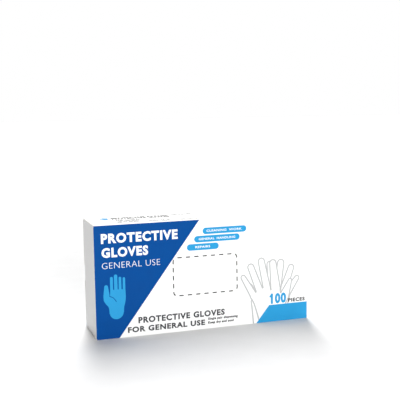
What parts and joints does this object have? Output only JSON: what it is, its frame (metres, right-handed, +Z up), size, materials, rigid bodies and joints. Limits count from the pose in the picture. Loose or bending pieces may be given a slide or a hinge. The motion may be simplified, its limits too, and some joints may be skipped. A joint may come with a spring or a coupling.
{
  "type": "glove box",
  "caption": "Tuck-end paperboard carton of disposable gloves with a perforated tear-out dispensing window.",
  "frame": {"origin": "middle of the base, on the surface that the carton stands on", "axes": "+X along the carton, +Y from the printed front to the back, +Z up"},
  "size_m": [0.24, 0.06, 0.12],
  "materials": {
    "carton_board": "clay-coated white folding boxboard, printed in two blues and grey, grey fibre inside",
    "black_nitrile": "thin matt black nitrile with a fine texture",
    "seam_glue": "dried dispersion glue"
  },
  "bodies": {
    "sleeve": {"front_panel": "carton_board", "back_panel": "carton_board", "top_panel": "carton_board", "bottom_panel": "carton_board", "glue_flap": "carton_board", "seam_glue": "seam_glue", "gloves_001_010": "black_nitrile", "gloves_011_020": "black_nitrile", "gloves_021_030": "black_nitrile", "gloves_031_040": "black_nitrile", "gloves_041_050": "black_nitrile", "gloves_051_060": "black_nitrile", "gloves_061_070": "black_nitrile", "gloves_071_080": "black_nitrile", "gloves_081_090": "black_nitrile", "gloves_091_100": "black_nitrile"},
    "tear_out_panel": {"tear_out_panel": "carton_board"},
    "left_end_flap": {"left_end_flap": "carton_board"},
    "left_tuck_tongue": {"left_tuck_tongue": "carton_board"},
    "left_upper_dust_flap": {"left_upper_dust_flap": "carton_board"},
    "left_lower_dust_flap": {"left_lower_dust_flap": "carton_board"},
    "right_end_flap": {"right_end_flap": "carton_board"},
    "right_tuck_tongue": {"right_tuck_tongue": "carton_board"},
    "right_upper_dust_flap": {"right_upper_dust_flap": "carton_board"},
    "right_lower_dust_flap": {"right_lower_dust_flap": "carton_board"}
  },
  "joints": [
    {"name": "tear_out_panel_lift", "type": "hinge", "parent": "sleeve", "child": "tear_out_panel", "pos_m": [0, -0.03, 0.0805], "axis": [-1, 0, 0], "range_deg": [0, 150]},
    {"name": "left_end_flap_crease", "type": "hinge", "parent": "sleeve", "child": "left_end_flap", "pos_m": [-0.12, -0.03, 0.06], "axis": [0, 0, 1], "range_deg": [0, 180]},
    {"name": "left_tongue_crease", "type": "hinge", "parent": "left_end_flap", "child": "left_tuck_tongue", "pos_m": [-0.12, 0.0293, 0.06], "axis": [0, 0, 1], "range_deg": [0, 36]},
    {"name": "left_upper_dust_crease", "type": "hinge", "parent": "sleeve", "child": "left_upper_dust_flap", "pos_m": [-0.1193, 0, 0.12], "axis": [0, 1, 0], "range_deg": [0, 90]},
    {"name": "left_lower_dust_crease", "type": "hinge", "parent": "sleeve", "child": "left_lower_dust_flap", "pos_m": [-0.1193, 0, 0], "axis": [0, -1, 0], "range_deg": [0, 90]},
    {"name": "right_end_flap_crease", "type": "hinge", "parent": "sleeve", "child": "right_end_flap", "pos_m": [0.12, -0.03, 0.06], "axis": [0, 0, -1], "range_deg": [0, 180]},
    {"name": "right_tongue_crease", "type": "hinge", "parent": "right_end_flap", "child": "right_tuck_tongue", "pos_m": [0.12, 0.0293, 0.06], "axis": [0, 0, -1], "range_deg": [0, 36]},
    {"name": "right_upper_dust_crease", "type": "hinge", "parent": "sleeve", "child": "right_upper_dust_flap", "pos_m": [0.1193, 0, 0.12], "axis": [0, -1, 0], "range_deg": [0, 90]},
    {"name": "right_lower_dust_crease", "type": "hinge", "parent": "sleeve", "child": "right_lower_dust_flap", "pos_m": [0.1193, 0, 0], "axis": [0, 1, 0], "range_deg": [0, 90]}
  ],
  "couplings": [
    {"joint": "left_tongue_crease", "follows": "left_end_flap_crease", "ratio": 0.2},
    {"joint": "left_upper_dust_crease", "follows": "left_end_flap_crease", "ratio": 0.5},
    {"joint": "left_lower_dust_crease", "follows": "left_end_flap_crease", "ratio": 0.5},
    {"joint": "right_tongue_crease", "follows": "right_end_flap_crease", "ratio": 0.2},
    {"joint": "right_upper_dust_crease", "follows": "right_end_flap_crease", "ratio": 0.5},
    {"joint": "right_lower_dust_crease", "follows": "right_end_flap_crease", "ratio": 0.5}
  ]
}
